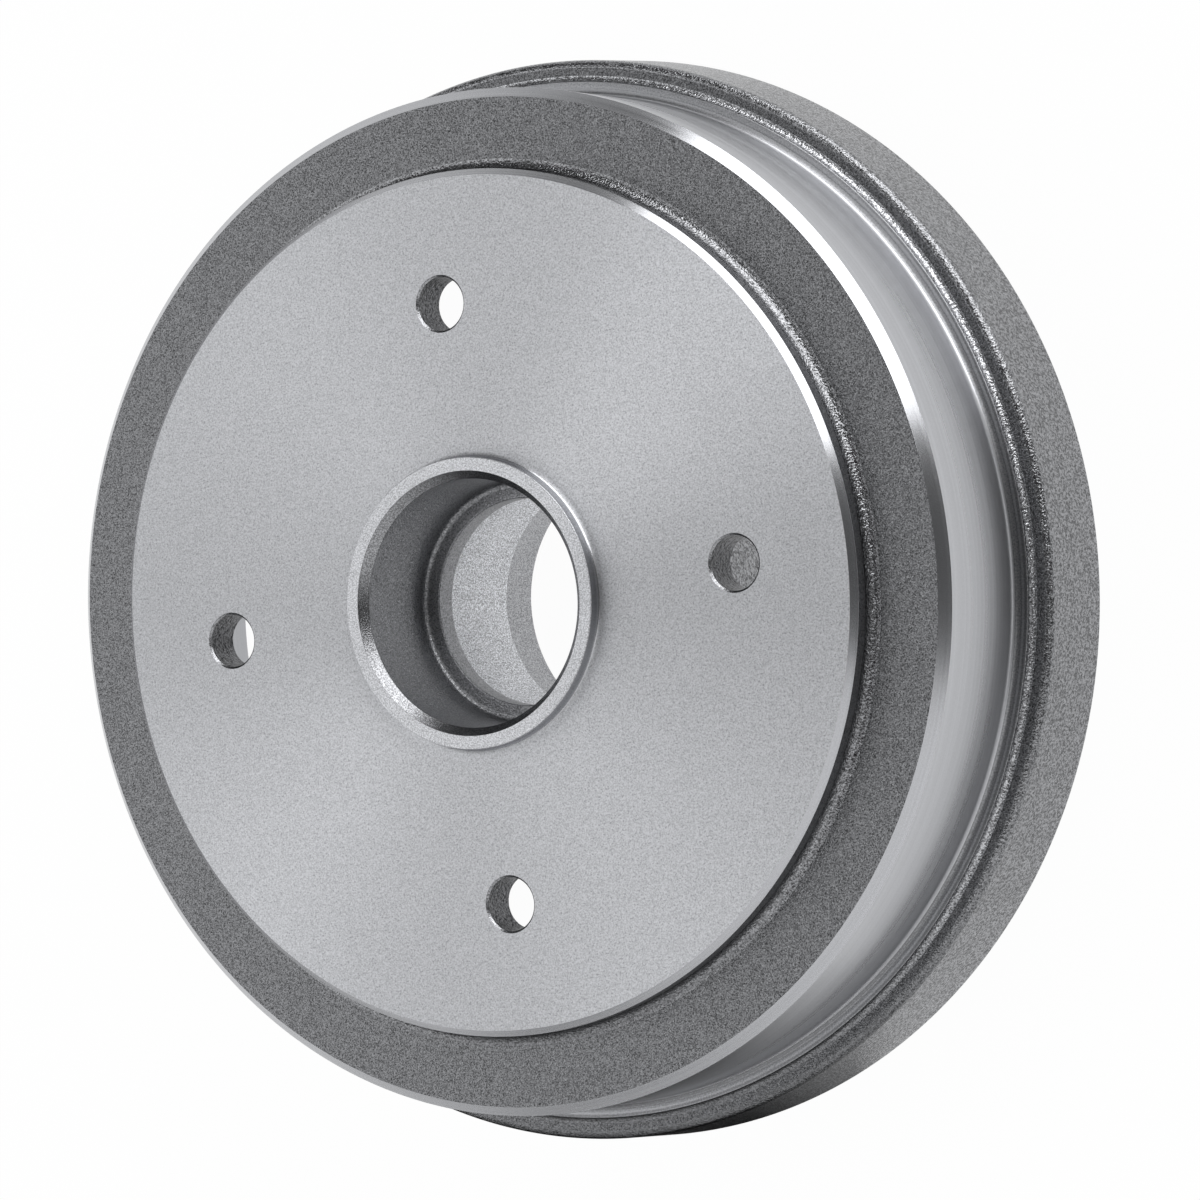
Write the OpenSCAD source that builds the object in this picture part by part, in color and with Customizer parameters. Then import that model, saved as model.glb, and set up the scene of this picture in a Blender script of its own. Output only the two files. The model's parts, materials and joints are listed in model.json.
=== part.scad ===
// Small rear brake drum with its hub cast in one piece, shown with the wheel face up.
// The whole casting is one turned section spun about the axle, with a ring of stud holes through
// its plate. Heights in the section are counted from the inner end of the hub, where the part stands.

/* [Overall] */
// Distance from the wheel face down to the inner end of the hub
hub_depth = 61.3; // [56:0.1:80]
// Distance from the wheel face down to the open edge of the drum
drum_depth = 51.3; // [46:0.1:54]

/* [Wheel face] */
// Outer diameter of the raised and turned wheel face, at its foot
pad_d = 164; // [150:0.5:176]
// Height of the wheel face above the cast ring around it
pad_step = 5.7; // [5:0.1:7]
// Turned chamfer around the wheel face
pad_chamfer = 1.2; // [0.4:0.1:1.8]
// Cast fillet at the foot of the wheel face
pad_fillet = 2.1; // [0.8:0.1:2.2]

/* [Collar] */
// Width of the flat lip on top of the collar that centres the wheel
lip_w = 2.6; // [1.5:0.1:8]
// Height of the collar above the wheel face
collar_h = 2.7; // [2.2:0.1:6]
// Fillet between the collar and the wheel face
collar_fillet = 1.2; // [0.4:0.1:1.5]
// Edge break around the lip of the collar
lip_round = 0.25; // [0.1:0.05:0.5]
// Width of the chamfer inside the mouth of the collar
mouth_w = 1.5; // [0.5:0.1:2.5]
// Depth of that chamfer
mouth_depth = 1.7; // [0.6:0.1:2]

/* [Stud holes] */
// Number of stud holes
stud_count = 4; // [3:1:6]
// Diameter of the circle that the stud holes lie on
stud_circle_d = 114.3; // [108:0.1:120]
// Diameter of a stud hole
stud_hole_d = 10.2; // [9:0.1:16]
// Chamfer at the mouth of a stud hole
stud_chamfer = 0.4; // [0.2:0.1:1]

/* [Neck and flange] */
// Wall between the friction surface and the turned neck outside it
neck_t = 7.65; // [5:0.05:12]
// Turned chamfer on the shoulder of the drum
shoulder_chamfer = 1.9; // [0.8:0.1:3]
// Distance from the wheel face down to the turned flat on the flange
flange_depth = 31.8; // [20:0.1:34]
// Fillet between the neck and the turned flat
neck_fillet = 1.5; // [0.4:0.1:1.7]
// Width of the turned flat, with its fillet
flat_w = 2.85; // [2:0.05:4]
// Rounding of the edge of the turned flat
flat_round = 0.2; // [0.1:0.05:0.25]
// Drop from the turned flat to the cast face of the flange
flat_step = 1.5; // [1.5:0.1:2.5]
// Cast fillet at the foot of that drop, which the turned flat cuts off at its top
flat_fillet = 1.2; // [0.2:0.1:1.2]

/* [Rim] */
// How far the open edge of the cast rim stands out past the neck
rim_w = 8.35; // [7.5:0.05:14]
// Casting draft of the rim, in degrees
rim_draft = 3.8; // [1:0.1:5]
// Rounding of the edge between the flange and the cast rim
rim_round = 1.6; // [0.5:0.1:1.9]
// Rounding of the open edge of the rim
open_round = 0.8; // [0.3:0.1:1.5]
// Wall outside the groove that the lip of the backing plate runs in, at the open edge
rim_lip = 4.5; // [3:0.1:6]
// Width of that groove
groove_w = 3.6; // [2.6:0.1:4]
// Depth of that groove
groove_depth = 6; // [3:0.1:7]
// Fillets at the bottom of that groove
groove_fillet = 1; // [0.4:0.1:1.2]

/* [Friction surface] */
// Diameter that the brake shoes run against
friction_d = 180; // [174:0.1:184]
// Chamfer where the shoes enter
entry_chamfer = 0.8; // [0.4:0.1:2]
// Width of the run-out groove at the end of the friction surface
runout_w = 3; // [2:0.1:6]
// Depth of the run-out groove
runout_t = 0.8; // [0.4:0.1:1.5]
// Fillet between the run-out groove and the crown
runout_fillet = 1.5; // [0.5:0.1:1.8]

/* [Plate] */
// Thickness of the plate under the wheel face
plate_t = 7.4; // [6:0.1:9]
// Thickness of the crown under the cast ring
crown_t = 7.8; // [7:0.1:10]
// Diameter at which the back of the plate starts to slope down to the crown
dish_d = 136; // [130:1:140]
// Slope of that dish, from the plane of the plate
dish_angle = 45; // [40:1:55]
// Roundings at the top and the foot of the dish
dish_round = 3; // [1:0.5:3]

/* [Hub] */
// Wall of the hub boss round the wider seat, at its inner end
boss_t = 6; // [4:0.1:12]
// Casting draft of the hub boss, in degrees
boss_draft = 1.5; // [0.5:0.1:3]
// Fillet between the hub boss and the plate
boss_fillet = 5; // [2:0.5:6]
// How far the web stands in from the mouth of the cast bore in front of it
front_step = 3.6; // [2.5:0.1:6]
// Casting draft of that bore, in degrees
front_draft = 0.7; // [0.2:0.1:1.5]
// Fillet at the bottom of that bore
front_fillet = 1.25; // [0.5:0.05:1.5]
// Distance from the wheel face down to the web inside the hub
web_depth = 17.7; // [12:0.1:24]
// Thickness of the web that the bearing is pressed against
web_t = 4.7; // [3:0.1:7]
// Bore of the bearing seat behind the web
seat_d = 47; // [42:0.1:52]
// How far the web stands in from the bearing seat
web_step = 3.6; // [2:0.1:6]
// How much further out the wider seat at the inner end of the hub lies
rear_step = 2.5; // [1:0.1:5]
// Depth of the wider seat
rear_seat_depth = 13.8; // [6:0.1:20]
// Chamfers at the inner end of the hub, inside and outside
end_chamfer = 1; // [0.5:0.1:1.5]
// Edge breaks on the turned steps of the hub and the rim
edge_break = 0.3; // [0.1:0.05:0.5]

/* [Hidden] */
// Facets round the axle, and round a small fillet
$fn = 180;
fillet_fn = 40;
// Overlap that keeps cuts clear of coincident edges
lap = 0.3;

// Heights above the inner end of the hub
face_z = hub_depth;
lip_z = face_z + collar_h;
mouth_z = lip_z - mouth_depth;
ring_z = face_z - pad_step;
flange_z = face_z - flange_depth;
cast_z = flange_z - flat_step;
open_z = face_z - drum_depth;
groove_z = open_z + groove_depth;
back_z = face_z - plate_t;
crown_z = ring_z - crown_t;
runout_z = crown_z - runout_w;
web_z = face_z - web_depth;
stop_z = web_z - web_t;

// Radii of the hub, from the bearing seat outwards
seat_r = seat_d / 2;
web_r = seat_r - web_step;
rear_seat_r = seat_r + rear_step;
boss_r = rear_seat_r + boss_t;
boss_edge_r = boss_r + end_chamfer * tan(boss_draft);
boss_root_r = boss_r + back_z * tan(boss_draft);
front_r = web_r + front_step;
front_foot_r = front_r - (mouth_z - web_z) * tan(front_draft);
mouth_r = front_r + mouth_w;
collar_r = mouth_r + lip_w;

// Radii of the drum, from the friction surface outwards
friction_r = friction_d / 2;
runout_r = friction_r + runout_t;
neck_r = friction_r + neck_t;
flat_r = neck_r + flat_w;
rim_r = neck_r + rim_w;
rim_front_r = rim_r - (cast_z - open_z) * tan(rim_draft);
groove_r = rim_r - rim_lip;
groove_in_r = groove_r - groove_w;
pad_r = pad_d / 2;
dish_r = dish_d / 2;
dish_foot_r = dish_r + (back_z - crown_z) / tan(dish_angle);

// Direction from the front edge of the cast rim to its open edge
rim_slope = 270 + rim_draft;

// A rounded corner is [point, direction of one side, direction of the other side, radius].
// Hollow corners, in the order of the section. Their directions point along the free surface.
collar_foot = [[collar_r, face_z], 90, 0, collar_fillet];
pad_foot = [[pad_r, ring_z], 90, 0, pad_fillet];
neck_foot = [[neck_r, flange_z], 90, 0, neck_fillet];
flat_foot = [[flat_r, cast_z], 90, 0, flat_fillet];
groove_outer = [[groove_r, groove_z], 270, 180, groove_fillet];
groove_inner = [[groove_in_r, groove_z], 360, 270, groove_fillet];
runout_end = [[runout_r, crown_z], 270, 180, runout_fillet];
dish_top = [[dish_r, back_z], 360 - dish_angle, 180, dish_round];
boss_root = [[boss_root_r, back_z], 360, 270 - boss_draft, boss_fillet];
seat_end = [[seat_r, stop_z], 270, 180, edge_break];
front_foot = [[front_foot_r, web_z], 180, 90 - front_draft, front_fillet];
hollow_corners = [
    collar_foot, pad_foot, neck_foot, flat_foot, groove_outer, groove_inner,
    runout_end, dish_top, boss_root, seat_end, front_foot
];

// Sharp corners that are broken, or left round by the mould
sharp_corners = [
    [[collar_r, lip_z], 180, 270, lip_round],
    [[flat_r, flange_z], 180, 270, flat_round],
    [[rim_front_r, cast_z], 180, rim_slope, rim_round],
    [[rim_r, open_z], 180, rim_slope - 180, open_round],
    [[groove_r, open_z], 0, 90, edge_break],
    [[groove_in_r, open_z], 180, 90, edge_break],
    [[dish_foot_r, crown_z], 0, 180 - dish_angle, dish_round],
    [[seat_r, rear_seat_depth], 0, 90, edge_break],
    [[web_r, stop_z], 0, 90, edge_break],
    [[web_r, web_z], 360, 270, edge_break]
];

// Unit vector at an angle in the plane of the section
function dir(angle) = [cos(angle), sin(angle)];

// Half the angle between the two sides of a corner, the distance from the corner to where its
// circle touches a side, and the centre of that circle
function half_angle(c) = abs(c[2] - c[1]) / 2;
function reach(c) = c[3] / tan(half_angle(c));
function centre(c) = c[0] + dir((c[1] + c[2]) / 2) * c[3] / sin(half_angle(c));

// The two points where the circle of a corner touches its sides
function touch(c) = [c[0] + dir(c[1]) * reach(c), c[0] + dir(c[2]) * reach(c)];

// The section with its sharp corners left sharp and its hollow corners bridged by straight chords,
// from the mouth of the collar round the outside, over the rim and back up through the bores
module raw_section() {
    polygon(concat(
        [[mouth_r, lip_z], [collar_r, lip_z]],
        touch(collar_foot),
        [[pad_r - pad_chamfer, face_z], [pad_r, face_z - pad_chamfer]],
        touch(pad_foot),
        [[neck_r - shoulder_chamfer, ring_z], [neck_r, ring_z - shoulder_chamfer]],
        touch(neck_foot),
        [[flat_r, flange_z]],
        touch(flat_foot),
        [[rim_front_r, cast_z], [rim_r, open_z], [groove_r, open_z]],
        touch(groove_outer),
        touch(groove_inner),
        [[groove_in_r, open_z], [friction_r + entry_chamfer, open_z]],
        [[friction_r, open_z + entry_chamfer], [friction_r, runout_z - runout_t]],
        [[runout_r, runout_z]],
        touch(runout_end),
        [[dish_foot_r, crown_z]],
        touch(dish_top),
        touch(boss_root),
        [[boss_edge_r, end_chamfer], [boss_r - end_chamfer, 0]],
        [[rear_seat_r + end_chamfer, 0], [rear_seat_r, end_chamfer]],
        [[rear_seat_r, rear_seat_depth], [seat_r, rear_seat_depth]],
        touch(seat_end),
        [[web_r, stop_z], [web_r, web_z]],
        touch(front_foot),
        [[front_r, mouth_z]]
    ));
}

// What a rounding takes away from a sharp corner
module corner_cut(c) {
    outside = c[0] - dir((c[1] + c[2]) / 2) * lap;
    difference() {
        polygon([outside, touch(c)[0], centre(c), touch(c)[1]]);
        translate(centre(c)) circle(c[3], $fn = fillet_fn);
    }
}

module section() {
    difference() {
        raw_section();
        for (c = hollow_corners) translate(centre(c)) circle(c[3], $fn = fillet_fn);
        for (c = sharp_corners) corner_cut(c);
    }
}

// One stud hole with its chamfer, on the axis of the stud
module stud_hole() {
    hole_r = stud_hole_d / 2;
    translate([0, 0, crown_z]) cylinder(h = lip_z - crown_z, r = hole_r);
    translate([0, 0, face_z - stud_chamfer])
        cylinder(h = stud_chamfer + lap, r1 = hole_r, r2 = hole_r + stud_chamfer + lap);
}

module brake_drum() {
    color([0.62, 0.63, 0.65]) difference() {
        rotate_extrude() section();
        for (i = [0 : stud_count - 1])
            rotate([0, 0, i * 360 / stud_count]) translate([stud_circle_d / 2, 0, 0]) stud_hole();
    }
}

brake_drum();
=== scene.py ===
# %% [markdown]
# # A brake drum with its hub
# The real thing is one grey iron casting. It comes out of a sand mould with a rough, dark skin, and a
# lathe then cuts only the places that have to be true: the wheel face, the collar, the neck, the
# friction surface and the bores. Its whole look is that contrast of dark cast skin and bright turned
# metal, so this lesson spends its effort on the finishes and on where one stops and the next begins.
# The frame gives the part as a plain solid of one finish. One finer piece stands for it here, spun
# from the same section, because a spun mesh knows which stretch of the section each face belongs to.

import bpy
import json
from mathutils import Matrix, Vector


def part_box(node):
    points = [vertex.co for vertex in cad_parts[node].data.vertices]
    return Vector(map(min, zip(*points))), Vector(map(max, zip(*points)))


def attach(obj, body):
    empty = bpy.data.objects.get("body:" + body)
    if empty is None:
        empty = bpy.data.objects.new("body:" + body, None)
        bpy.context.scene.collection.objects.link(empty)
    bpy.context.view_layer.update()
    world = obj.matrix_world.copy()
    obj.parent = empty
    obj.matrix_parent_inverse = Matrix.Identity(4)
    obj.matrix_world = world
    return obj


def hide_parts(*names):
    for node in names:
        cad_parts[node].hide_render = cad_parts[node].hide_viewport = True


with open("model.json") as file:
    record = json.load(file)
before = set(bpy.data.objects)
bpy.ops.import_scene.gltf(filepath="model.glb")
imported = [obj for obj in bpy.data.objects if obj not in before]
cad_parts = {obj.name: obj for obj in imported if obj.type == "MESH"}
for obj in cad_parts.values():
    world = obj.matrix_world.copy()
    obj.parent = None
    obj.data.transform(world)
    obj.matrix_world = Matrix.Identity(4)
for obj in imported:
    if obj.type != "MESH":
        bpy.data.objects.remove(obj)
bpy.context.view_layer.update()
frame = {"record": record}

import json
import math

import bpy
import numpy as np
from mathutils import Matrix, Vector

# %% [markdown]
# ## Sizes that the frame already holds
# A dressed part has to sit exactly where the plain one sits. The record names the faces and bores that
# other parts meet, and the node's box gives the rest of the outside, so those sizes are read and not
# typed again. Everything in the section is in millimetres, with radii from the axle and heights from
# the end of the hub that the drum stands on.

# %% Read the record's mounts and the node's box
MM = 0.001
mounts = {mount["name"]: mount for mount in frame["record"]["mounts"]}


def mount_size(name, size):
    """A stated size of a mount, in millimetres."""
    return mounts[name]["dims"][size]


box_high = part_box("brake_drum")[1]
face_z = mounts["wheel_face"]["pos_m"][2] / MM
lip_z = box_high[2] / MM
rim_r = box_high[0] / MM
collar_r = mount_size("wheel_collar", "r_mm")
axle_bore_r = mount_size("axle_bore", "r_mm")
seat_r = mount_size("bearing_seat", "r_mm")
rear_seat_r = mount_size("rear_seat", "r_mm")
print(f"wheel face at {face_z:.1f} mm, lip at {lip_z:.1f} mm, rim radius {rim_r:.1f} mm")

# %% [markdown]
# ## The outside of the section
# A lathe hand reads a turned part as one line with corners in it, so that is how it is written: each
# corner has a radius, a height, how much it is rounded, and the finish of the stretch that follows.
# The collar centres the wheel, the face carries it, and the rough ring outside the face is never cut.
# The shoulder and the neck are turned to balance the drum. The tool stops against a narrow flat, and
# the short drop from the flat's edge to the cast flange is cast skin in a lighter tone: painted highlight.

# %% Write the wheel side, from the mouth of the collar to the turned flat
mouth_r = 25.0
pad_r = 82.0
pad_chamfer = 1.2
ring_z = face_z - 5.7
neck_r = 97.65
shoulder_chamfer = 1.9
flange_z = face_z - 31.8
flat_r = neck_r + 2.85

wheel_side = [
    (mouth_r, lip_z, 0.12, "lip"),
    (collar_r, lip_z, 0.25, "turned"),
    (collar_r, face_z, 1.2, "faced"),
    (pad_r - pad_chamfer, face_z, 0.08, "turned"),
    (pad_r, face_z - pad_chamfer, 0.12, "fine cast"),
    (pad_r, ring_z, 2.1, "cast"),
    (neck_r - shoulder_chamfer, ring_z, 0.12, "turned"),
    (neck_r, ring_z - shoulder_chamfer, 0.1, "neck"),
    (neck_r, flange_z, 1.5, "flat"),
    (flat_r, flange_z, 0.2, "burred"),
]
print(len(wheel_side), "corners on the wheel side")

# %% [markdown]
# ## The rim and the inside
# The rim leaves the mould with draft, so it widens towards the open side. Its open edge is turned, with
# a narrow groove that the lip of the backing plate runs in. Inside it the shoes rub on the friction
# surface, which ends in a shallow run-out groove, and past that the casting is rough again all the way
# in to the foot of the hub, and roughest on the back of the plate.

# %% Write the rim, the friction surface and the back of the plate
cast_z = flange_z - 1.5
open_z = 10.0
rim_front_r = rim_r - (cast_z - open_z) * math.tan(math.radians(3.8))
groove_r = rim_r - 4.5
groove_in_r = groove_r - 3.6
groove_z = open_z + 6.0
friction_r = 90.0
entry_chamfer = 0.8
runout_r = friction_r + 0.8
crown_z = ring_z - 7.8
runout_z = crown_z - 3.0
plate_z = face_z - 7.4
dish_r = 68.0

rim_and_inside = [
    (flat_r, cast_z, 1.2, "flange"),
    (rim_front_r, cast_z, 1.6, "rim"),
    (rim_r, open_z, 0.8, "turned"),
    (groove_r, open_z, 0.3, "turned"),
    (groove_r, groove_z, 1.0, "turned"),
    (groove_in_r, groove_z, 1.0, "turned"),
    (groove_in_r, open_z, 0.3, "turned"),
    (friction_r + entry_chamfer, open_z, 0.1, "turned"),
    (friction_r, open_z + entry_chamfer, 0.1, "rubbed"),
    (friction_r, runout_z - 0.8, 0.1, "turned"),
    (runout_r, runout_z, 0.1, "turned"),
    (runout_r, crown_z, 1.5, "cast"),
    (dish_r + plate_z - crown_z, crown_z, 3.0, "cast"),
    (dish_r, plate_z, 3.0, "rough cast"),
]
print(len(rim_and_inside), "corners on the rim and the inside")

# %% [markdown]
# ## The hub
# The hub boss stays rough outside. Its bore is stepped: a wide seat at the inner end, a long seat for
# the bearing, a web that the bearing is pressed against, and in front of the web a bore that stays cast,
# with draft, and that only the rim of the dust cap touches. The web is thin, so its corners have a
# small rounding.

# %% Write the hub and close the section
boss_r = rear_seat_r + 6.0
boss_lean = math.tan(math.radians(1.5))
end_chamfer = 1.0
rear_seat_z = 13.8
web_z = face_z - 17.7
web_back_z = web_z - 4.7
front_r = axle_bore_r + 3.6
mouth_z = lip_z - 1.7
front_foot_r = front_r - (mouth_z - web_z) * math.tan(math.radians(0.7))

hub = [
    (boss_r + plate_z * boss_lean, plate_z, 5.0, "rough cast"),
    (boss_r + end_chamfer * boss_lean, end_chamfer, 0.15, "turned"),
    (boss_r - end_chamfer, 0.0, 0.1, "turned"),
    (rear_seat_r + end_chamfer, 0.0, 0.1, "turned"),
    (rear_seat_r, end_chamfer, 0.1, "seat"),
    (rear_seat_r, rear_seat_z, 0.0, "seat"),
    (seat_r, rear_seat_z, 0.3, "bored"),
    (seat_r, web_back_z, 0.3, "bored"),
    (axle_bore_r, web_back_z, 0.3, "fine cast"),
    (axle_bore_r, web_z, 0.3, "fine cast"),
    (front_foot_r, web_z, 1.25, "fine cast"),
    (front_r, mouth_z, 0.15, "mouth"),
]
section = wheel_side + rim_and_inside + hub
print(len(section), "corners in the closed section")

# %% [markdown]
# ## From corners to an outline
# No edge on a casting or off a lathe is perfectly sharp, and the thin bright line along an edge is what
# makes metal look real. Each corner becomes a short arc that meets both sides smoothly. A bevel
# modifier could do it, but with the arc worked out here each small face also knows its finish. A small
# arc shares the finishes of its two sides. A large arc that runs into cast skin has a finish of its own,
# a lighter copy of the skin that paints a highlight where these roundings catch the lamps. The one
# under the drop takes the drop's lighter finish.

# %% Round the corners
CAST_ARC = 0.45
MOULDED = ("cast", "flange", "rim")
SMALL_ARC_STEPS = 3
FEWEST_STEPS = 4
STEP_TURN = math.radians(11)


def round_corner(before, corner, after):
    """Points of the arc at a corner, and the finish of each step along it."""
    here = np.array(corner[:2])
    radius = corner[2]
    if radius == 0:
        return [here], []
    side_in = np.array(before[:2]) - here
    side_out = np.array(after[:2]) - here
    side_in /= np.linalg.norm(side_in)
    side_out /= np.linalg.norm(side_out)
    half = math.acos(side_in @ side_out) / 2
    middle = side_in + side_out
    centre = here + middle / np.linalg.norm(middle) * radius / math.sin(half)
    start = here + side_in * radius / math.tan(half) - centre
    end = here + side_out * radius / math.tan(half) - centre
    first = math.atan2(start[1], start[0])
    turn = (math.atan2(end[1], end[0]) - first + math.pi) % (2 * math.pi) - math.pi
    steps = max(FEWEST_STEPS, round(abs(turn) / STEP_TURN))
    if radius < CAST_ARC:
        steps = SMALL_ARC_STEPS
    angles = [first + turn * step / steps for step in range(steps + 1)]
    points = [centre + radius * np.array([math.cos(a), math.sin(a)]) for a in angles]
    finishes = [before[3] if step < steps / 2 else corner[3] for step in range(steps)]
    # Large cast arcs take a lighter copy of the skin: painted highlight.
    if radius >= CAST_ARC and corner[3] in MOULDED:
        finishes = ["burred" if before[3] == "burred" else "peened"] * steps
    return points, finishes


outline = []
outline_finish = []
for index, corner in enumerate(section):
    points, finishes = round_corner(section[index - 1], corner, section[(index + 1) % len(section)])
    outline += points
    outline_finish += finishes + [corner[3]]
outline = np.array(outline)
print(len(outline), "points in the outline")

# %% [markdown]
# ## Spinning the section
# A Screw modifier would spin the outline too. Here the rings are laid down directly, because then the
# faces come in a known order and each can take its finish and its place on the unwrapped sheet: once
# round the axle across, and once round the section up. The top edge of the sheet is kept for the holes.

# %% Spin the outline about the axle
ROUND = 384
SHEET_TOP = 0.97
FINISHES = ["turned", "faced", "lip", "neck", "flat", "mouth", "rubbed", "seat", "bored", "drilled",
            "cast", "flange", "rim", "peened", "burred", "fine cast", "rough cast"]


def spin(profile, round_steps):
    """Rings of points and the faces between them, for a closed profile of radii and heights."""
    angles = np.arange(round_steps) * 2 * math.pi / round_steps
    points = np.empty((round_steps, len(profile), 3))
    points[..., 0] = np.cos(angles)[:, None] * profile[:, 0]
    points[..., 1] = np.sin(angles)[:, None] * profile[:, 0]
    points[..., 2] = profile[:, 1]
    ring = np.arange(round_steps)[:, None] * len(profile)
    next_ring = np.roll(ring, -1, axis=0)
    here = np.arange(len(profile))
    after = np.roll(here, -1)
    faces = np.stack([ring + here, ring + after, next_ring + after, next_ring + here], axis=-1)
    return points.reshape(-1, 3) * MM, faces.reshape(-1, 4)


def new_object(name, points, faces, finishes, sheet):
    """A mesh object with a finish slot for each face and a place on the unwrapped sheet."""
    mesh = bpy.data.meshes.new(name)
    mesh.from_pydata(points.tolist(), [], [list(face) for face in faces])
    mesh.polygons.foreach_set("material_index", [FINISHES.index(finish) for finish in finishes])
    mesh.uv_layers.new(name="sheet").data.foreach_set("uv", np.ravel(sheet))
    for finish in FINISHES:
        mesh.materials.append(bpy.data.materials.get(finish) or bpy.data.materials.new(finish))
    made = bpy.data.objects.new(name, mesh)
    bpy.context.scene.collection.objects.link(made)
    return made


points, faces = spin(outline, ROUND)
steps = np.linalg.norm(np.roll(outline, -1, axis=0) - outline, axis=1)
along = np.concatenate([[0], np.cumsum(steps)]) / steps.sum() * SHEET_TOP
turns = np.arange(ROUND + 1) / ROUND
low_u = np.repeat(turns[:-1, None], len(outline), axis=1)
high_u = np.repeat(turns[1:, None], len(outline), axis=1)
low_v = np.tile(along[:-1], (ROUND, 1))
high_v = np.tile(along[1:], (ROUND, 1))
sheet = np.stack([low_u, low_v, low_u, high_v, high_u, high_v, high_u, low_v], axis=-1)
drum = new_object("dressed_brake_drum", points, faces, outline_finish * ROUND, sheet)
print(len(drum.data.polygons), "faces before drilling")

# %% [markdown]
# ## Drilling the stud holes
# The holes are drilled after the face is turned, so they cut straight through the finished plate and
# leave a small chamfer at the mouth. A boolean does just that. The drill's own faces carry finishes,
# and the cut hands them on to what it leaves behind: the wall of the hole is drilled, and its chamfer
# shines like the mouth of the collar.

# %% Drill four holes with chamfered mouths
HOLE_ROUND = 96
STUD_CHAMFER = 0.4
OVERSHOOT = 1.0
stud_circle_r = mount_size("wheel_studs", "pcd_mm") / 2
stud_hole_r = mount_size("wheel_studs", "hole_r_mm")
stud_count = mount_size("wheel_studs", "count")


def drill(index):
    """Points and faces of one drill: a shank with a cone for the chamfer on top."""
    levels = [
        (stud_hole_r, crown_z),
        (stud_hole_r, face_z - STUD_CHAMFER),
        (stud_hole_r + STUD_CHAMFER + OVERSHOOT, face_z + OVERSHOOT),
    ]
    angle = 2 * math.pi * index / stud_count
    centre = np.array([math.cos(angle), math.sin(angle)]) * stud_circle_r
    points = []
    for radius, height in levels:
        for step in range(HOLE_ROUND):
            a = 2 * math.pi * step / HOLE_ROUND
            points.append([centre[0] + radius * math.cos(a), centre[1] + radius * math.sin(a), height])
    faces = [list(range(HOLE_ROUND - 1, -1, -1))]
    faces.append([2 * HOLE_ROUND + step for step in range(HOLE_ROUND)])
    for level in range(2):
        for step in range(HOLE_ROUND):
            low = level * HOLE_ROUND + step
            next_low = level * HOLE_ROUND + (step + 1) % HOLE_ROUND
            faces.append([low, next_low, next_low + HOLE_ROUND, low + HOLE_ROUND])
    return np.array(points) * MM, faces


drill_points = []
drill_faces = []
END_FACES = 2
drill_finish = (["drilled"] * (END_FACES + HOLE_ROUND) + ["mouth"] * HOLE_ROUND) * stud_count
for index in range(stud_count):
    points, faces = drill(index)
    drill_faces += [[len(drill_points) + corner for corner in face] for face in faces]
    drill_points += points.tolist()
corner_count = sum(len(face) for face in drill_faces)
drill_sheet = np.zeros((corner_count, 2)) + [0.5, (1 + SHEET_TOP) / 2]
drills = new_object("drills", np.array(drill_points), drill_faces, drill_finish, drill_sheet)

cut = drum.modifiers.new("stud holes", "BOOLEAN")
cut.object = drills
cut.solver = "EXACT"
drilled_mesh = bpy.data.meshes.new_from_object(drum.evaluated_get(bpy.context.evaluated_depsgraph_get()))
drum.modifiers.clear()
drum.data = drilled_mesh
bpy.data.objects.remove(drills)
print(len(drum.data.polygons), "faces after drilling")

# %% [markdown]
# ## Smooth where the lathe was smooth
# The small arcs have to catch the light as roundings, and the broad faces beside them have to stay
# flat. Weighted normals give each broad face its own direction and let the arcs do all the turning.
# Only the edges that have no arc, at the drilled holes and at the step in the bore, are marked sharp.

# %% Shade the drum and let it stand for the frame's node
SHARP_ANGLE = math.radians(35)
LARGE_FACES_ONLY = 100
drum.data.polygons.foreach_set("use_smooth", [True] * len(drum.data.polygons))
drum.data.set_sharp_from_angle(angle=SHARP_ANGLE)
weighted = drum.modifiers.new("true faces", "WEIGHTED_NORMAL")
weighted.keep_sharp = True
weighted.weight = LARGE_FACES_ONLY
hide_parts("brake_drum")
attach(drum, "root")
drum.data.calc_loop_triangles()
print(len(drum.data.loop_triangles), "triangles in the dressed drum")

# %% [markdown]
# ## Small helpers for finishes
# A finish is a graph of nodes. Four helpers keep the recipes readable. One puts a node down with its
# settings and links in a single line, one does a sum on values, one turns a value into another range,
# and one starts a node group that several finishes can share.

# %% Node helpers
def put(tree, kind, inputs=None, **settings):
    """A new shader node. An input is named by its socket, and is a value or a socket to link from."""
    node = tree.nodes.new("ShaderNode" + kind)
    for key, value in settings.items():
        setattr(node, key, value)
    for name, value in (inputs or {}).items():
        if isinstance(value, bpy.types.NodeSocket):
            tree.links.new(value, node.inputs[name])
        else:
            node.inputs[name].default_value = value
    return node


def calc(tree, operation, first, second=0.0, clamp=False):
    """The result of a sum on values that change over the surface."""
    return put(tree, "Math", {0: first, 1: second}, operation=operation, use_clamp=clamp).outputs[0]


def ease(tree, value, low, high, to_low=0.0, to_high=1.0):
    """A value that runs from to_low to to_high while the given one goes from low to high."""
    limits = {"Value": value, "From Min": low, "From Max": high, "To Min": to_low, "To Max": to_high}
    return put(tree, "MapRange", limits, interpolation_type="SMOOTHSTEP").outputs["Result"]


def new_effect(name, sockets_in, sockets_out):
    """An empty node group with named number inputs and outputs, and its two end nodes."""
    group = bpy.data.node_groups.new(name, "ShaderNodeTree")
    for socket, value in sockets_in.items():
        made = group.interface.new_socket(name=socket, in_out="INPUT", socket_type="NodeSocketFloat")
        made.default_value = value
    for socket in sockets_out:
        group.interface.new_socket(name=socket, in_out="OUTPUT", socket_type="NodeSocketFloat")
    start = group.nodes.new("NodeGroupInput").outputs
    end = group.nodes.new("NodeGroupOutput").inputs
    return group, start, end


print("helpers ready")

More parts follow.
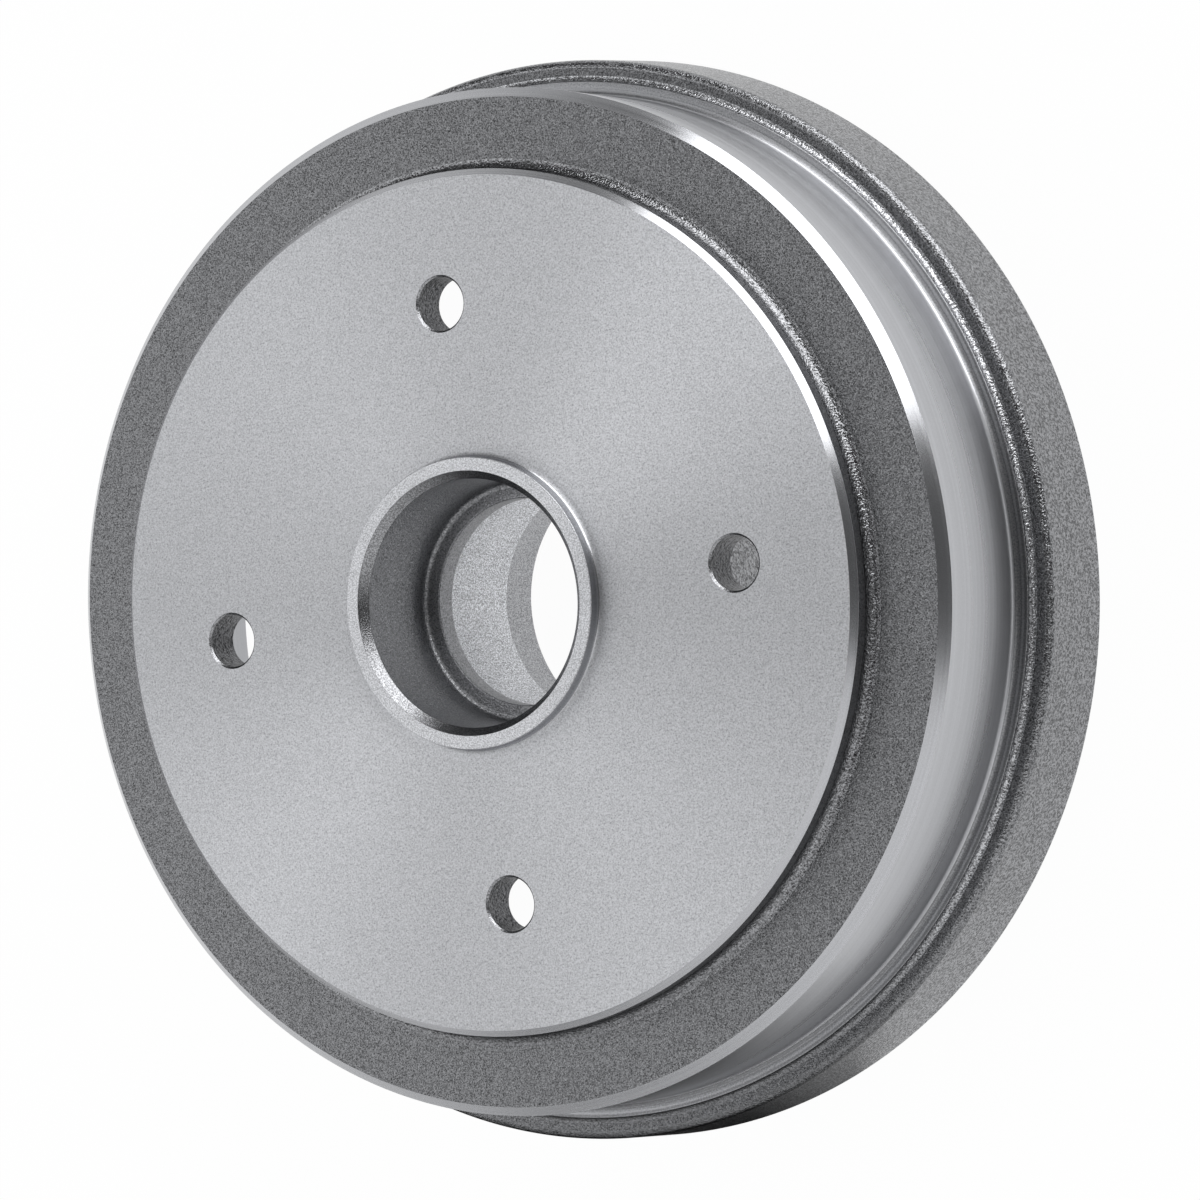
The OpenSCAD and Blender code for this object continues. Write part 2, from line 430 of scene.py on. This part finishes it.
# %% [markdown]
# ## Effect: turning marks
# A lathe tool leaves a fine spiral that looks like rings about the axle. A noise texture makes them if
# it is read in lathe terms: it changes fast with radius and height and hardly at all on the way round.
# The way round goes in as the sine and cosine of the angle, so the rings close without a seam.

# %% Build the turning marks
BAND_SHARE = 0.16


def turning_marks():
    """Rings about the axle. Feed is fine rings, Bands is broader rings of a slightly different cut."""
    group, start, end = new_effect(
        "turning marks", {"Rings per mm": 2.0, "Drift": 0.6}, ["Feed", "Bands"])
    place = put(group, "TexCoord").outputs["Object"]
    xyz = put(group, "SeparateXYZ", {"Vector": place})
    x, y, z = xyz.outputs
    flat = put(group, "CombineXYZ", {"X": x, "Y": y})
    radius = put(group, "VectorMath", {0: flat.outputs[0]}, operation="LENGTH").outputs["Value"]
    cosine = calc(group, "MULTIPLY", calc(group, "DIVIDE", x, radius), start["Drift"])
    sine = calc(group, "MULTIPLY", calc(group, "DIVIDE", y, radius), start["Drift"])
    per_metre = calc(group, "MULTIPLY", start["Rings per mm"], 1 / MM)
    for output, coarser in (("Feed", 1.0), ("Bands", BAND_SHARE)):
        scale = calc(group, "MULTIPLY", per_metre, coarser)
        lathe = put(group, "CombineXYZ", {
            "X": calc(group, "MULTIPLY", radius, scale),
            "Y": calc(group, "MULTIPLY", z, scale),
            "Z": cosine,
        })
        noise = put(group, "TexNoise", {
            "Vector": lathe.outputs[0], "W": sine, "Scale": 1.0, "Detail": 2.0, "Roughness": 0.6,
        }, noise_dimensions="4D")
        group.links.new(noise.outputs["Fac"], end[output])
    return group


TURNING = turning_marks()
print("built", TURNING.name)

# %% [markdown]
# ## Effect: cast skin
# Molten iron fills the gaps between the grains of sand, so the skin is covered in fine grit, and where
# the sand was coarser it is pebbled like orange peel. Two noises at two sizes make the relief, each
# with a depth of its own. The tone follows the relief and is darker in its hollows: painted shade.
# Cells as small as the grit pick out the few grains that flash in the light.

# %% Build the cast skin
GRAINS_PER_BUMP = 1.5


def cast_skin():
    """Relief of a sand-cast skin in millimetres, tones with painted shade in its hollows, and rare flashes.
    """
    group, start, end = new_effect(
        "cast skin",
        {"Grain mm": 0.45, "Grain depth": 0.2, "Pebble mm": 1.0, "Pebble depth": 0.1},
        ["Height", "Grit", "Pebbles", "Flash"])
    place = put(group, "TexCoord").outputs["Object"]
    coarse = calc(group, "DIVIDE", 1 / MM, start["Pebble mm"])
    pebbles = put(group, "TexNoise", {
        "Vector": place, "Scale": coarse, "Detail": 1.0, "Roughness": 0.5, "Distortion": 0.6})
    # The pebbles' tone is lighter on their tops and darker in their hollows: painted shade.
    group.links.new(ease(group, pebbles.outputs["Fac"], 0.38, 0.62), end["Pebbles"])
    per_grain = calc(group, "DIVIDE", 1 / MM, start["Grain mm"])
    bumps = put(group, "TexNoise", {"Vector": place, "Scale": per_grain, "Detail": 1.0, "Roughness": 0.6})
    grain_height = calc(group, "MULTIPLY", bumps.outputs["Fac"], start["Grain depth"])
    pebble_height = calc(group, "MULTIPLY", pebbles.outputs["Fac"], start["Pebble depth"])
    group.links.new(calc(group, "ADD", grain_height, pebble_height), end["Height"])
    fine = calc(group, "MULTIPLY", per_grain, GRAINS_PER_BUMP)
    grains = put(group, "TexVoronoi", {"Vector": place, "Scale": fine, "Randomness": 1.0})
    tone, pick = put(group, "SeparateXYZ", {"Vector": grains.outputs["Color"]}).outputs[:2]
    # Half the grit's tone is the grains' own random tone, half is painted shade in the hollows of the grain
    # relief.
    hollow_shade = ease(group, bumps.outputs["Fac"], 0.35, 0.6)
    group.links.new(calc(group, "MULTIPLY", calc(group, "ADD", tone, hollow_shade), 0.5), end["Grit"])
    middle = ease(group, grains.outputs["Distance"], 0.3, 0.7, 1.0, 0.0)
    group.links.new(calc(group, "MULTIPLY", middle, ease(group, pick, 0.86, 0.94)), end["Flash"])
    return group


CAST_SKIN = cast_skin()
print("built", CAST_SKIN.name)

# %% [markdown]
# ## Effect: graphite specks
# Grey iron is full of graphite flakes. Where a tool cuts through them they show as tiny dark specks, and
# the cut metal between them has a soft, cloudy sheen. A noise with a high threshold makes the specks,
# a finer one the peppery grain, and a slow one the clouds.

# %% Build the graphite specks
PEPPER_PER_SPECK = 1.3


def graphite():
    """Dark specks, a fine peppery grain round one half, and slow clouds, for cut iron."""
    group, start, end = new_effect(
        "graphite", {"Speck mm": 0.5, "Cloud mm": 22.0}, ["Specks", "Pepper", "Clouds"])
    place = put(group, "TexCoord").outputs["Object"]
    scale = calc(group, "DIVIDE", 1 / MM, start["Speck mm"])
    specks = put(group, "TexNoise", {"Vector": place, "Scale": scale, "Detail": 1.0, "Roughness": 0.5})
    group.links.new(ease(group, specks.outputs["Fac"], 0.60, 0.68), end["Specks"])
    fine = calc(group, "MULTIPLY", scale, PEPPER_PER_SPECK)
    pepper = put(group, "TexNoise", {"Vector": place, "Scale": fine, "Detail": 2.0, "Roughness": 0.7})
    group.links.new(pepper.outputs["Fac"], end["Pepper"])
    slow = calc(group, "DIVIDE", 1 / MM, start["Cloud mm"])
    clouds = put(group, "TexNoise", {"Vector": place, "Scale": slow, "Detail": 3.0, "Roughness": 0.55})
    group.links.new(clouds.outputs["Fac"], end["Clouds"])
    return group


GRAPHITE = graphite()
print("built", GRAPHITE.name)

# %% [markdown]
# ## Bare iron
# All the finishes are the same metal, so they share one start: a fully metallic surface with the faint
# blue of iron. Turned metal smears what it mirrors across its rings. The tangent runs round the axle
# and a quarter turn of the anisotropy lays the smear across the rings, as on the real drum.

# %% Start a finish of bare iron
IRON_TINT = (0.982, 0.995, 1.035)


def grey(value):
    """Iron's colour at a given brightness."""
    return (*[value * part for part in IRON_TINT], 1.0)


def bare_iron(name, smear):
    """The finish's node tree and its metallic shader, with the smear that turning leaves."""
    finish = bpy.data.materials[name]
    finish.use_nodes = True
    tree = finish.node_tree
    iron = tree.nodes["Principled BSDF"]
    iron.inputs["Metallic"].default_value = 1.0
    if smear:
        iron.inputs["Anisotropic"].default_value = smear
        iron.inputs["Anisotropic Rotation"].default_value = 0.25
        rings = put(tree, "Tangent", direction_type="RADIAL", axis="Z")
        tree.links.new(rings.outputs["Tangent"], iron.inputs["Tangent"])
    return tree, iron


def effect(tree, group, **values):
    """An effect placed in a finish, with its own values. An underscore stands for a space."""
    node = tree.nodes.new("ShaderNodeGroup")
    node.node_tree = group
    for name, value in values.items():
        node.inputs[name.replace("_", " ")].default_value = value
    return node.outputs


# A Mix node has its sockets A and B twice, for numbers first and for colours further on.
NUMBER_A = 2
NUMBER_B = 3
COLOUR_A = 6
COLOUR_B = 7
COLOUR_RESULT = 2


def shade(tree, dark, light, amount):
    """A colour between two brightnesses of iron."""
    mix = put(tree, "Mix", {"Factor": amount}, data_type="RGBA")
    mix.inputs[COLOUR_A].default_value = grey(dark)
    mix.inputs[COLOUR_B].default_value = grey(light)
    return mix.outputs[COLOUR_RESULT]


def blend(tree, first, first_share, second, second_share):
    """Two values added in the given shares."""
    part = calc(tree, "MULTIPLY", first, first_share)
    other_part = calc(tree, "MULTIPLY", second, second_share)
    return calc(tree, "ADD", part, other_part)


def relief(tree, height, depth_mm=1.0):
    """A normal that follows a height, which counts in steps of the given depth."""
    bump = put(tree, "Bump", {"Height": height, "Distance": depth_mm * MM, "Strength": 1.0})
    return bump.outputs["Normal"]


print("iron ready")

# %% [markdown]
# ## The turned finishes
# The wheel face is faced with a fine feed, so its rings hardly show and the graphite does. The chamfers
# are cut in one pass and mirror most sharply. The neck is finished a little duller, and the tool stops
# and chatters on the flat at its foot, which leaves rings deep enough to see. The friction surface is
# rubbed by the shoes, so it is smooth and drags out what it mirrors.

# %% Make the faced, turned, neck, flat and rubbed finishes
def faced_iron():
    """The wheel face: peppery, cloudy and fine."""
    tree, iron = bare_iron("faced", 0.8)
    rings = effect(tree, TURNING, Rings_per_mm=2.4, Drift=0.8)
    flakes = effect(tree, GRAPHITE, Speck_mm=0.42, Cloud_mm=20.0)
    pepper = ease(tree, flakes["Pepper"], 0.3, 0.7)
    tone = blend(tree, pepper, 0.6, flakes["Clouds"], 0.4)
    dotted = calc(tree, "SUBTRACT", tone, calc(tree, "MULTIPLY", flakes["Specks"], 0.5), clamp=True)
    tree.links.new(shade(tree, 0.31, 0.62, dotted), iron.inputs["Base Color"])
    tree.links.new(ease(tree, flakes["Clouds"], 0.2, 0.8, 0.42, 0.5), iron.inputs["Roughness"])
    height = calc(tree, "ADD", calc(tree, "MULTIPLY", rings["Feed"], 0.5), pepper)
    tree.links.new(relief(tree, height, 0.01), iron.inputs["Normal"])


def turned_iron(name, dark, light, rings_per_mm, depth, rough, smear, soft=0.25):
    """A finish with rings, from its brightnesses, feed, depth, roughness, smear and softness of tone."""
    tree, iron = bare_iron(name, smear)
    rings = effect(tree, TURNING, Rings_per_mm=rings_per_mm, Drift=0.5)
    flakes = effect(tree, GRAPHITE, Speck_mm=0.4, Cloud_mm=15.0)
    ringed = calc(tree, "ADD", rings["Bands"], rings["Feed"])
    tone = ease(tree, blend(tree, ringed, 0.35, flakes["Pepper"], 0.3), 0.5 - soft, 0.5 + soft)
    tree.links.new(shade(tree, dark, light, tone), iron.inputs["Base Color"])
    dulled = ease(tree, rings["Bands"], 0.3, 0.7, rough - 0.03, rough + 0.04)
    tree.links.new(dulled, iron.inputs["Roughness"])
    height = calc(tree, "ADD", rings["Feed"], calc(tree, "MULTIPLY", flakes["Pepper"], 0.4))
    tree.links.new(relief(tree, height, depth), iron.inputs["Normal"])


faced_iron()
turned_iron("turned", dark=0.40, light=0.52, rings_per_mm=2.0, depth=0.005, rough=0.24, smear=0.5)
turned_iron("neck", dark=0.44, light=0.58, rings_per_mm=1.6, depth=0.006, rough=0.30, smear=0.62)
turned_iron("flat", dark=0.16, light=0.44, rings_per_mm=2.8, depth=0.05, rough=0.36, smear=0.8, soft=0.13)
turned_iron("rubbed", dark=0.44, light=0.54, rings_per_mm=2.5, depth=0.005, rough=0.34, smear=0.8)
print("turned finishes ready")

# %% [markdown]
# ## The cast finishes
# The cast skin is the darkest part of the drum. It is still metal and its grains are fairly smooth, so
# it glitters where it bends towards a lamp: along the foot of the wheel face and the edges of the rim.
# The ring and the flange have fine grit. The rim was moulded in coarser sand, so it is pebbled, and the
# back of the plate and the boss are rough cast with both. The web, the bore before it and the low wall
# under the edge of the wheel face are fine cast. The large roundings and the drop under the flat are
# lighter copies of the skin, a painted highlight where they catch the lamps, and they glitter the most.
# Towards the front both are darker, a painted shade on that side.

# %% Make the cast and rough finishes, and the lighter painted-highlight finishes of the roundings and the drop
# Where the painted shade towards the drum's front begins and where it is full.
FRONT_SHADE_FROM = -0.055
FRONT_SHADE_TO = -0.097


def front_painted_shade(tree, front_shade_share):
    """One over most of the drum, falling to the given share towards the front: painted shade on that side.
    """
    place = put(tree, "TexCoord").outputs["Object"]
    towards_back = put(tree, "SeparateXYZ", {"Vector": place}).outputs["Y"]
    return ease(tree, towards_back, FRONT_SHADE_TO, FRONT_SHADE_FROM, front_shade_share, 1.0)


def cast_iron(name, dark, light, rough, pebbly, front_shade_share=1.0, **skin_sizes):
    """The mould's rough skin, from its brightnesses, roughness, share of pebbles and sizes of grain."""
    tree, iron = bare_iron(name, 0.0)
    skin = effect(tree, CAST_SKIN, **skin_sizes)
    # The tone mixes the grains' own tone with painted shade in the hollows of grain and pebbles.
    grain = put(tree, "Mix", {0: pebbly, NUMBER_A: skin["Grit"], NUMBER_B: skin["Pebbles"]}).outputs[0]
    tone = calc(tree, "ADD", grain, skin["Flash"], clamp=True)
    # A share under one darkens the tone towards the front: painted shade.
    if front_shade_share < 1.0:
        tone = calc(tree, "MULTIPLY", tone, front_painted_shade(tree, front_shade_share))
    tree.links.new(shade(tree, dark, light, tone), iron.inputs["Base Color"])
    polish = calc(tree, "MULTIPLY", skin["Flash"], 0.15)
    tree.links.new(calc(tree, "SUBTRACT", rough, polish), iron.inputs["Roughness"])
    tree.links.new(relief(tree, skin["Height"]), iron.inputs["Normal"])


cast_iron("cast", dark=0.03, light=0.24, rough=0.28, pebbly=0.0,
          Grain_mm=0.29, Grain_depth=0.16, Pebble_mm=1.3, Pebble_depth=0.03)
cast_iron("flange", dark=0.03, light=0.22, rough=0.28, pebbly=0.0,
          Grain_mm=0.30, Grain_depth=0.18, Pebble_mm=1.3, Pebble_depth=0.03)
cast_iron("rough cast", dark=0.04, light=0.42, rough=0.34, pebbly=0.5,
          Grain_mm=0.45, Grain_depth=0.3, Pebble_mm=0.65, Pebble_depth=0.5)
cast_iron("rim", dark=0.08, light=0.35, rough=0.30, pebbly=0.75,
          Grain_mm=0.40, Grain_depth=0.1, Pebble_mm=0.5, Pebble_depth=0.27)
# These two are lighter copies of the cast skin, painted highlight, and darker towards the front, painted
# shade.
cast_iron("peened", dark=0.06, light=0.34, rough=0.20, pebbly=0.0, front_shade_share=0.45,
          Grain_mm=0.40, Grain_depth=0.16, Pebble_mm=1.3, Pebble_depth=0.1)
cast_iron("burred", dark=0.08, light=0.58, rough=0.24, pebbly=0.0, front_shade_share=0.25,
          Grain_mm=0.40, Grain_depth=0.16, Pebble_mm=1.3, Pebble_depth=0.1)
cast_iron("fine cast", dark=0.12, light=0.36, rough=0.38, pebbly=0.0,
          Grain_mm=0.34, Grain_depth=0.1, Pebble_mm=1.3, Pebble_depth=0.05)
print("cast finishes ready")

# %% [markdown]
# ## The lip, the bores and the drilled walls
# The lip is cut with a blunter tool and has a grainy sheen, and the chamfer at its mouth is darker. The
# bearing seat was bored once, so it is bright with dark pits. The wider seat behind it is finer. The
# walls of the stud holes are torn by the drill and stay dark.

# %% Make the lip, mouth, bored, seat and drilled finishes
def grainy_iron(name, dark, light, rough, smear, speck_mm, depth):
    """Cut iron with dark pits, from its brightnesses, roughness and smear, and the pits' size and depth."""
    tree, iron = bare_iron(name, smear)
    flakes = effect(tree, GRAPHITE, Speck_mm=speck_mm, Cloud_mm=12.0)
    pepper = ease(tree, flakes["Pepper"], 0.38, 0.6)
    dotted = calc(tree, "SUBTRACT", pepper, flakes["Specks"], clamp=True)
    tree.links.new(shade(tree, dark, light, dotted), iron.inputs["Base Color"])
    dulled = ease(tree, flakes["Clouds"], 0.2, 0.8, rough - 0.05, rough + 0.05)
    tree.links.new(dulled, iron.inputs["Roughness"])
    tree.links.new(relief(tree, flakes["Pepper"], depth), iron.inputs["Normal"])


def drilled_iron():
    """The torn walls of the stud holes."""
    tree, iron = bare_iron("drilled", 0.0)
    skin = effect(tree, CAST_SKIN, Grain_mm=0.5, Grain_depth=0.35, Pebble_mm=1.0, Pebble_depth=0.3)
    # The grit's tone carries painted shade in the hollows of the relief.
    tree.links.new(shade(tree, 0.02, 0.28, skin["Grit"]), iron.inputs["Base Color"])
    tree.links.new(ease(tree, skin["Grit"], 0.0, 1.0, 0.35, 0.5), iron.inputs["Roughness"])
    tree.links.new(relief(tree, skin["Height"]), iron.inputs["Normal"])


grainy_iron("lip", dark=0.34, light=0.62, rough=0.42, smear=0.5, speck_mm=0.36, depth=0.08)
grainy_iron("mouth", dark=0.15, light=0.36, rough=0.24, smear=0.0, speck_mm=0.34, depth=0.05)
grainy_iron("bored", dark=0.32, light=0.92, rough=0.46, smear=0.3, speck_mm=0.36, depth=0.10)
grainy_iron("seat", dark=0.22, light=0.54, rough=0.42, smear=0.4, speck_mm=0.34, depth=0.06)
drilled_iron()
print("all finishes ready:", ", ".join(FINISHES))

# %% [markdown]
# ## The floor
# The drum is shown on plain white. The camera and mirrored rays see the floor glow at a strength just
# under one, so it is white in the picture and in the metal. The rest of it is an ordinary pale surface
# under the lamps, so the drum still has a shadow to stand on.

# %% Lay the floor
FLOOR_HALF = 6.0
GLOW_SHARE = 0.97
FLOOR_WHITE = (0.85, 0.85, 0.85, 1.0)
FULL_WHITE = (1.0, 1.0, 1.0, 1.0)


def lay_floor():
    """A wide pale floor at the height that the drum stands on."""
    corners = [(-FLOOR_HALF, -FLOOR_HALF, 0), (FLOOR_HALF, -FLOOR_HALF, 0),
               (FLOOR_HALF, FLOOR_HALF, 0), (-FLOOR_HALF, FLOOR_HALF, 0)]
    mesh = bpy.data.meshes.new("floor")
    mesh.from_pydata(corners, [], [(0, 1, 2, 3)])
    floor = bpy.data.objects.new("floor", mesh)
    bpy.context.scene.collection.objects.link(floor)
    white = bpy.data.materials.new("white floor")
    white.use_nodes = True
    white.cycles.emission_sampling = "NONE"
    mesh.materials.append(white)
    tree = white.node_tree
    tree.nodes.clear()
    path = put(tree, "LightPath").outputs
    seen = calc(tree, "MAXIMUM", path["Is Camera Ray"], path["Is Glossy Ray"])
    seen = calc(tree, "MAXIMUM", seen, path["Is Transmission Ray"])
    paint = put(tree, "BsdfDiffuse", {"Color": FLOOR_WHITE}).outputs[0]
    glow = put(tree, "Emission", {"Color": FULL_WHITE, "Strength": 1.0}).outputs[0]
    share = calc(tree, "MULTIPLY", seen, GLOW_SHARE)
    mixed = put(tree, "MixShader", {0: share, 1: paint, 2: glow}).outputs[0]
    put(tree, "OutputMaterial", {"Surface": mixed})


lay_floor()
print("floor laid,", 2 * FLOOR_HALF, "m wide")

# %% [markdown]
# ## The lamps
# Bare metal shows its surroundings, so the lamps are placed for what each finish should mirror. A strong
# softbox stands low behind the drum's right, and gives the chamfers their hard white streak. A wide one
# on the left lights the rings from the side, one hangs overhead, and the widest fills from the front.
# Nothing stands where the camera is, so the rest of the metal stays grey. A softbox of brightness 1 is
# mirrored as white, and its energy is worked out from that and its area.

# %% Hang the softboxes
LOOK_AT = Vector((0, 0, 0.04))
ENERGY_PER_AREA = 4


def softbox(name, azimuth, elevation, distance, width, height, brightness):
    """A soft lamp that faces the drum. Azimuth is measured from the +X side towards the +Y side."""
    lamp = bpy.data.lights.new(name, "AREA")
    lamp.shape = "RECTANGLE"
    lamp.size = width
    lamp.size_y = height
    lamp.energy = ENERGY_PER_AREA * width * height * brightness
    hung = bpy.data.objects.new(name, lamp)
    across, up = math.radians(azimuth), math.radians(elevation)
    towards = Vector((math.cos(across) * math.cos(up), math.sin(across) * math.cos(up), math.sin(up)))
    hung.location = LOOK_AT + towards * distance
    hung.rotation_euler = towards.to_track_quat("Z", "Y").to_euler()
    hung.visible_camera = False
    bpy.context.scene.collection.objects.link(hung)
    print(f"{name}: {lamp.energy:.1f} W at {azimuth} degrees round, {elevation} up")


softbox("back softbox", 55, 22, distance=1.0, width=1.06, height=0.85, brightness=2.7)
softbox("left softbox", 178, 20, distance=1.0, width=1.4, height=0.65, brightness=1.0)
softbox("overhead softbox", 172, 62, distance=1.0, width=1.3, height=0.9, brightness=0.95)
softbox("front fill", -74, 36, distance=1.0, width=2.1, height=1.0, brightness=0.75)

# %% [markdown]
# ## The black card
# Bright metal on a white floor loses its edge where it mirrors only white. Photographers lay a black
# card beside it, just outside the picture, so that the metal has something dark to mirror. This one
# lies in front of the drum and darkens its near rim and the near side of the neck. It thins out towards
# the right, so that the metal doesn't mirror a hard edge there. The camera doesn't see it.

# %% Lay the black card beside the drum
CARD_NEAR = 0.095
CARD_DEPTH = 0.3
CARD_RIGHT = 0.092
CARD_FADE = 0.07
CARD_LEFT = 0.13
CARD_LIFT = 0.001
CARD_SIDE = math.radians(-97)
CARD_BLACK = (0.02, 0.02, 0.02, 1.0)


def lay_card():
    """A dark card flat on the floor. Its near edge is just under the rim, and its right end thins out."""
    corners = [(CARD_NEAR, -CARD_LEFT), (CARD_NEAR + CARD_DEPTH, -CARD_LEFT),
               (CARD_NEAR + CARD_DEPTH, CARD_RIGHT), (CARD_NEAR, CARD_RIGHT)]
    mesh = bpy.data.meshes.new("black card")
    mesh.from_pydata([(x, y, CARD_LIFT) for x, y in corners], [], [(0, 1, 2, 3)])
    card = bpy.data.objects.new("black_card", mesh)
    card.rotation_euler = (0, 0, CARD_SIDE)
    card.visible_camera = False
    card.visible_diffuse = False
    card.visible_shadow = False
    bpy.context.scene.collection.objects.link(card)
    black = bpy.data.materials.new("black card")
    black.use_nodes = True
    tree = black.node_tree
    tree.nodes.clear()
    place = put(tree, "TexCoord").outputs["Object"]
    across = put(tree, "SeparateXYZ", {"Vector": place}).outputs["Y"]
    faded = ease(tree, across, CARD_RIGHT - CARD_FADE, CARD_RIGHT)
    paint = put(tree, "BsdfDiffuse", {"Color": CARD_BLACK}).outputs[0]
    clear = put(tree, "BsdfTransparent").outputs[0]
    mixed = put(tree, "MixShader", {0: faded, 1: paint, 2: clear}).outputs[0]
    put(tree, "OutputMaterial", {"Surface": mixed})
    mesh.materials.append(black)


lay_card()
print("card laid beside the drum")

# %% [markdown]
# ## The world and the camera
# A dim, even world keeps the darkest metal off black. The camera looks down on the wheel face from the
# side through a long lens. It is turned about the axle until the stud holes lie where the picture has
# them. The view transform is Standard, so a colour is shown as it is written.

# %% Set the world, the camera and the view transform
WORLD_LIGHT = 0.12
LENS_MM = 150.65
SENSOR_MM = 36
CAMERA_TURN = math.radians(-7.4)
CAMERA_FROM_FACE = Vector((0.5202, 0.0127, 0.7926))
CAMERA_RIGHT = Vector((0.8495, -0.0081, -0.5276))
CAMERA_BACK = Vector((0.5277, 0.0130, 0.8494))

world = bpy.data.worlds.new("studio")
world.use_nodes = True
world.node_tree.nodes["Background"].inputs["Color"].default_value = FULL_WHITE
world.node_tree.nodes["Background"].inputs["Strength"].default_value = WORLD_LIGHT
bpy.context.scene.world = world
bpy.context.scene.view_settings.view_transform = "Standard"

face_centre = Vector((0, 0, face_z * MM))
turned_by = Matrix.Rotation(CAMERA_TURN, 3, "Z")
camera_place = turned_by @ CAMERA_FROM_FACE + face_centre
picture_right = turned_by @ CAMERA_RIGHT
picture_back = turned_by @ CAMERA_BACK
picture_up = picture_back.cross(picture_right)
lens = bpy.data.cameras.new("camera")
lens.sensor_width = SENSOR_MM
lens.lens = LENS_MM
camera = bpy.data.objects.new("camera", lens)
camera.matrix_world = Matrix.Translation(camera_place) @ Matrix(
    (picture_right, picture_up, picture_back)).transposed().to_4x4()
bpy.context.scene.collection.objects.link(camera)
bpy.context.scene.camera = camera
print("camera", [round(value, 3) for value in camera_place])
